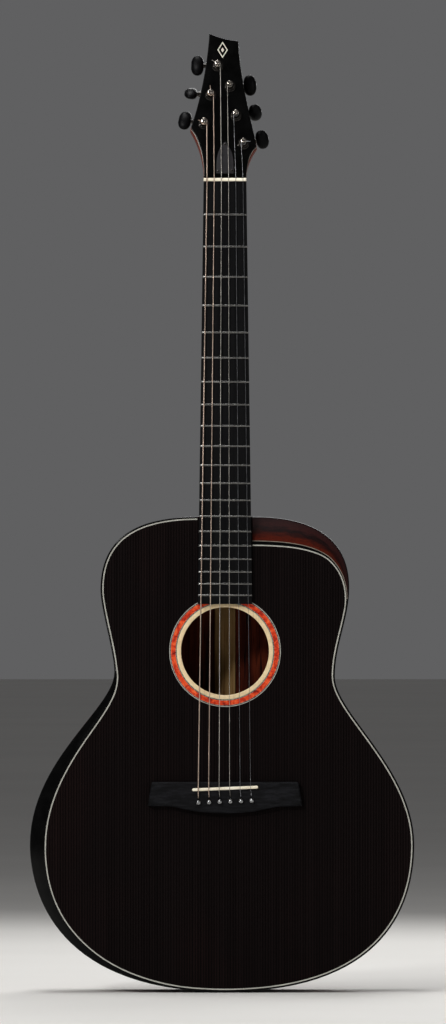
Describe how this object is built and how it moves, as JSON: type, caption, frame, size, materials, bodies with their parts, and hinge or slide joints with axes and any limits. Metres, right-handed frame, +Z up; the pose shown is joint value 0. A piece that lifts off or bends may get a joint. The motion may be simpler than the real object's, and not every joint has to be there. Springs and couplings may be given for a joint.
{
  "type": "acoustic guitar",
  "caption": "Steel-string acoustic guitar with hollow body, arm and cutaway bevels, soundhole, pinned bridge, fretted neck, truss rod and geared tuning machines.",
  "frame": {"origin": "on the centreline at the front edge of the nut, in the plane of the soundboard's face, where a wall hanger's yoke holds the neck under the headstock", "axes": "+Z up the neck from the tail to the headstock, -Y out of the soundboard towards the player's right hand, bass strings at -X"},
  "size_m": [0.4132, 0.1342, 1.031],
  "materials": {
    "ebonised_top": "satin open-pored ebonised softwood with fine straight grain",
    "rosewood": "gloss-lacquered dark red-brown rosewood with streaked figure",
    "neck_wood": "satin red-brown hardwood",
    "ebony": "fine satin black ebony",
    "spruce": "raw planed spruce",
    "black_binding": "gloss black edge binding",
    "white_purfling": "thin off-white line",
    "maple_ring": "pale cream maple",
    "rosette_red": "mottled orange-red inlay under clear lacquer",
    "bone": "polished cream bone",
    "gloss_black": "polished black",
    "nickel": "bright nickel plate",
    "steel": "plain steel",
    "bronze_string": "bronze-wound string",
    "plain_string": "plain steel wire"
  },
  "bodies": {
    "root": {"arm_bevel": "black_binding", "back": "rosewood", "back_binding": "black_binding", "back_bracing": "spruce", "bridge": "ebony", "bridge_pin_1": "gloss_black", "bridge_pin_2": "gloss_black", "bridge_pin_3": "gloss_black", "bridge_pin_4": "gloss_black", "bridge_pin_5": "gloss_black", "bridge_pin_6": "gloss_black", "bridge_plate": "maple_ring", "cutaway_bevel": "rosewood", "fretboard": "ebony", "headplate": "gloss_black", "heel_cap": "ebony", "lining_bass": "spruce", "lining_treble": "spruce", "neck": "neck_wood", "neck_block": "spruce", "nut": "bone", "rosette": "rosette_red", "saddle": "bone", "side_bass": "rosewood", "side_treble": "rosewood", "soundboard": "ebonised_top", "soundhole_binding": "maple_ring", "string_a": "bronze_string", "string_b": "plain_string", "string_d": "bronze_string", "string_g": "bronze_string", "string_high_e": "plain_string", "string_low_e": "bronze_string", "tail_block": "spruce", "tail_graft": "ebony", "top_binding": "black_binding", "top_purfling": "white_purfling", "truss_rod": "steel", "truss_rod_cover": "gloss_black", "tuner_housing_1": "nickel", "tuner_housing_2": "nickel", "tuner_housing_3": "nickel", "tuner_housing_4": "nickel", "tuner_housing_5": "nickel", "tuner_housing_6": "nickel", "upper_transverse_brace": "spruce", "x_brace": "spruce"},
    "button_1": {"tuner_button_1": "gloss_black"},
    "post_1": {"tuner_post_1": "nickel"},
    "button_2": {"tuner_button_2": "gloss_black"},
    "post_2": {"tuner_post_2": "nickel"},
    "button_3": {"tuner_button_3": "gloss_black"},
    "post_3": {"tuner_post_3": "nickel"},
    "button_4": {"tuner_button_4": "gloss_black"},
    "post_4": {"tuner_post_4": "nickel"},
    "button_5": {"tuner_button_5": "gloss_black"},
    "post_5": {"tuner_post_5": "nickel"},
    "button_6": {"tuner_button_6": "gloss_black"},
    "post_6": {"tuner_post_6": "nickel"},
    "rod_nut": {"truss_rod_nut": "nickel"}
  },
  "joints": [
    {"name": "button_1_turn", "type": "hinge", "parent": "root", "child": "button_1", "pos_m": [-0.02147, 0.03453, 0.06153], "axis": [-0.9816, 0.0462, 0.1851], "continuous": true},
    {"name": "post_1_turn", "type": "hinge", "parent": "root", "child": "post_1", "pos_m": [-0.0225, 0.01403, 0.06118], "axis": [0, -0.9703, 0.2419], "continuous": true},
    {"name": "button_2_turn", "type": "hinge", "parent": "root", "child": "button_2", "pos_m": [-0.01483, 0.04233, 0.09285], "axis": [-0.9962, 0.0211, 0.0846], "continuous": true},
    {"name": "post_2_turn", "type": "hinge", "parent": "root", "child": "post_2", "pos_m": [-0.0153, 0.02182, 0.09242], "axis": [0, -0.9703, 0.2419], "continuous": true},
    {"name": "button_3_turn", "type": "hinge", "parent": "root", "child": "button_3", "pos_m": [-0.00761, 0.05018, 0.1243], "axis": [-0.9994, 0.0084, 0.0339], "continuous": true},
    {"name": "post_3_turn", "type": "hinge", "parent": "root", "child": "post_3", "pos_m": [-0.0078, 0.02966, 0.12386], "axis": [0, -0.9703, 0.2419], "continuous": true},
    {"name": "button_4_turn", "type": "hinge", "parent": "root", "child": "button_4", "pos_m": [0.00482, 0.04466, 0.10217], "axis": [0.9976, 0.0169, 0.0677], "continuous": true},
    {"name": "post_4_turn", "type": "hinge", "parent": "root", "child": "post_4", "pos_m": [0.0052, 0.02414, 0.10174], "axis": [0, -0.9703, 0.2419], "continuous": true},
    {"name": "button_5_turn", "type": "hinge", "parent": "root", "child": "button_5", "pos_m": [0.01086, 0.03676, 0.07047], "axis": [0.9848, 0.042, 0.1685], "continuous": true},
    {"name": "post_5_turn", "type": "hinge", "parent": "root", "child": "post_5", "pos_m": [0.0118, 0.01626, 0.0701], "axis": [0, -0.9703, 0.2419], "continuous": true},
    {"name": "button_6_turn", "type": "hinge", "parent": "root", "child": "button_6", "pos_m": [0.01859, 0.02912, 0.03983], "axis": [0.9703, 0.0585, 0.2347], "continuous": true},
    {"name": "post_6_turn", "type": "hinge", "parent": "root", "child": "post_6", "pos_m": [0.0199, 0.00864, 0.03954], "axis": [0, -0.9703, 0.2419], "continuous": true},
    {"name": "truss_rod_nut_turn", "type": "hinge", "parent": "root", "child": "rod_nut", "pos_m": [0, 0.0065, 0.012], "axis": [0, 0, 1], "range_deg": [-180, 180]}
  ],
  "couplings": [
    {"joint": "post_1_turn", "follows": "button_1_turn", "ratio": 0.0625},
    {"joint": "post_2_turn", "follows": "button_2_turn", "ratio": 0.0625},
    {"joint": "post_3_turn", "follows": "button_3_turn", "ratio": 0.0625},
    {"joint": "post_4_turn", "follows": "button_4_turn", "ratio": 0.0625},
    {"joint": "post_5_turn", "follows": "button_5_turn", "ratio": 0.0625},
    {"joint": "post_6_turn", "follows": "button_6_turn", "ratio": 0.0625}
  ]
}
